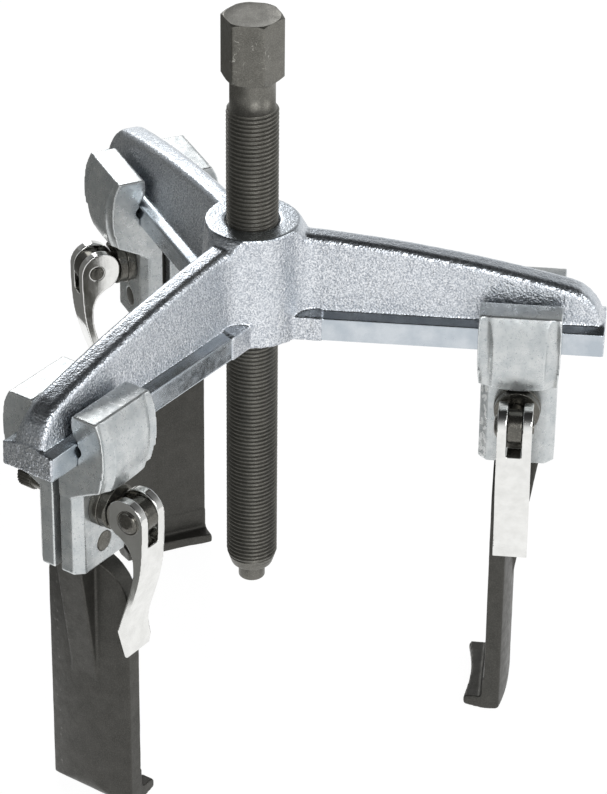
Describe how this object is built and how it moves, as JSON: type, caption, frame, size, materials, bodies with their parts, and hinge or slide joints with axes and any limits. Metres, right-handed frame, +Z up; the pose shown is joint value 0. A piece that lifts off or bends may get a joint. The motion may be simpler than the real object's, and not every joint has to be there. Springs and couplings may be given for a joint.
{
  "type": "gear puller",
  "caption": "Three-arm gear puller: forged yoke with a hex-headed forcing screw and sliding quick-release jaws with hooked claws.",
  "frame": {"origin": "centre of the thrust tip's pressure face, on the screw's axis", "axes": "+Z up the forcing screw towards its hexagon, +X out along the first arm"},
  "size_m": [0.2292, 0.2566, 0.306],
  "materials": {
    "zinc_forging": "bright zinc plate over a rough forged skin",
    "zinc_clamp": "satin zinc plate",
    "phosphated_screw": "oiled dark phosphate",
    "phosphated_leg": "dry dark phosphate",
    "black_fastener": "blackened steel",
    "polished_lever": "polished cast steel",
    "bearing_steel": "hard bright steel"
  },
  "bodies": {
    "yoke_body": {"yoke": "zinc_forging"},
    "tip": {"thrust_tip": "phosphated_screw", "thrust_ball": "bearing_steel", "tip_snap_ring": "bearing_steel"},
    "screw": {"spindle": "phosphated_screw"},
    "jaw1": {"jaw1_leg": "phosphated_leg", "jaw1_clamp_near": "zinc_clamp", "jaw1_washer": "black_fastener", "jaw1_cam_seat": "black_fastener", "jaw1_dowel": "black_fastener"},
    "clamp1": {"jaw1_clamp_far": "zinc_clamp", "jaw1_clamp_bolt": "black_fastener"},
    "lever1": {"jaw1_cam_lever": "polished_lever", "jaw1_lever_pin": "black_fastener"},
    "nut1": {"jaw1_adjusting_nut": "black_fastener"},
    "jaw2": {"jaw2_leg": "phosphated_leg", "jaw2_clamp_near": "zinc_clamp", "jaw2_washer": "black_fastener", "jaw2_cam_seat": "black_fastener", "jaw2_dowel": "black_fastener"},
    "clamp2": {"jaw2_clamp_far": "zinc_clamp", "jaw2_clamp_bolt": "black_fastener"},
    "lever2": {"jaw2_cam_lever": "polished_lever", "jaw2_lever_pin": "black_fastener"},
    "nut2": {"jaw2_adjusting_nut": "black_fastener"},
    "jaw3": {"jaw3_leg": "phosphated_leg", "jaw3_clamp_near": "zinc_clamp", "jaw3_washer": "black_fastener", "jaw3_cam_seat": "black_fastener", "jaw3_dowel": "black_fastener"},
    "clamp3": {"jaw3_clamp_far": "zinc_clamp", "jaw3_clamp_bolt": "black_fastener"},
    "lever3": {"jaw3_cam_lever": "polished_lever", "jaw3_lever_pin": "black_fastener"},
    "nut3": {"jaw3_adjusting_nut": "black_fastener"}
  },
  "joints": [
    {"name": "screw_feed", "type": "slide", "parent": "yoke_body", "child": "tip", "axis": [0, 0, 1], "range_m": [-0.048, 0.1]},
    {"name": "screw_turn", "type": "hinge", "parent": "tip", "child": "screw", "pos_m": [0, 0, 0], "axis": [0, 0, 1], "range_deg": [-9500, 19800]},
    {"name": "jaw1_slide", "type": "slide", "parent": "yoke_body", "child": "jaw1", "axis": [1, 0, 0], "range_m": [-0.062, 0.0165]},
    {"name": "clamp1_release", "type": "slide", "parent": "jaw1", "child": "clamp1", "axis": [0, 1, 0], "range_m": [0, 0.0011]},
    {"name": "lever1_swing", "type": "hinge", "parent": "clamp1", "child": "lever1", "pos_m": [0.1085, -0.0282, 0.0985], "axis": [-1, 0, 0], "range_deg": [0, 135]},
    {"name": "nut1_turn", "type": "hinge", "parent": "clamp1", "child": "nut1", "pos_m": [0.1085, 0.02, 0.0985], "axis": [0, 1, 0], "range_deg": [-180, 180]},
    {"name": "jaw2_slide", "type": "slide", "parent": "yoke_body", "child": "jaw2", "axis": [-0.5, 0.866, 0], "range_m": [-0.061, 0.0175]},
    {"name": "clamp2_release", "type": "slide", "parent": "jaw2", "child": "clamp2", "axis": [0.866, 0.5, 0], "range_m": [0, 0.0011]},
    {"name": "lever2_swing", "type": "hinge", "parent": "clamp2", "child": "lever2", "pos_m": [-0.07817, 0.079, 0.0985], "axis": [-0.5, 0.866, 0], "range_deg": [0, 135]},
    {"name": "nut2_turn", "type": "hinge", "parent": "clamp2", "child": "nut2", "pos_m": [-0.03643, 0.1031, 0.0985], "axis": [0.866, 0.5, 0], "range_deg": [-180, 180]},
    {"name": "jaw3_slide", "type": "slide", "parent": "yoke_body", "child": "jaw3", "axis": [-0.5, -0.866, 0], "range_m": [-0.0635, 0.015]},
    {"name": "clamp3_release", "type": "slide", "parent": "jaw3", "child": "clamp3", "axis": [-0.866, 0.5, 0], "range_m": [0, 0.0011]},
    {"name": "lever3_swing", "type": "hinge", "parent": "clamp3", "child": "lever3", "pos_m": [-0.03058, -0.10936, 0.0985], "axis": [-0.5, -0.866, 0], "range_deg": [0, 135]},
    {"name": "nut3_turn", "type": "hinge", "parent": "clamp3", "child": "nut3", "pos_m": [-0.07232, -0.08526, 0.0985], "axis": [-0.866, 0.5, 0], "range_deg": [-180, 180]}
  ],
  "couplings": [
    {"joint": "screw_feed", "follows": "screw_turn", "m_per_rad": 0.00028875},
    {"joint": "lever1_swing", "follows": "clamp1_release", "rad_per_m": 2140},
    {"joint": "lever2_swing", "follows": "clamp2_release", "rad_per_m": 2140},
    {"joint": "lever3_swing", "follows": "clamp3_release", "rad_per_m": 2140}
  ]
}
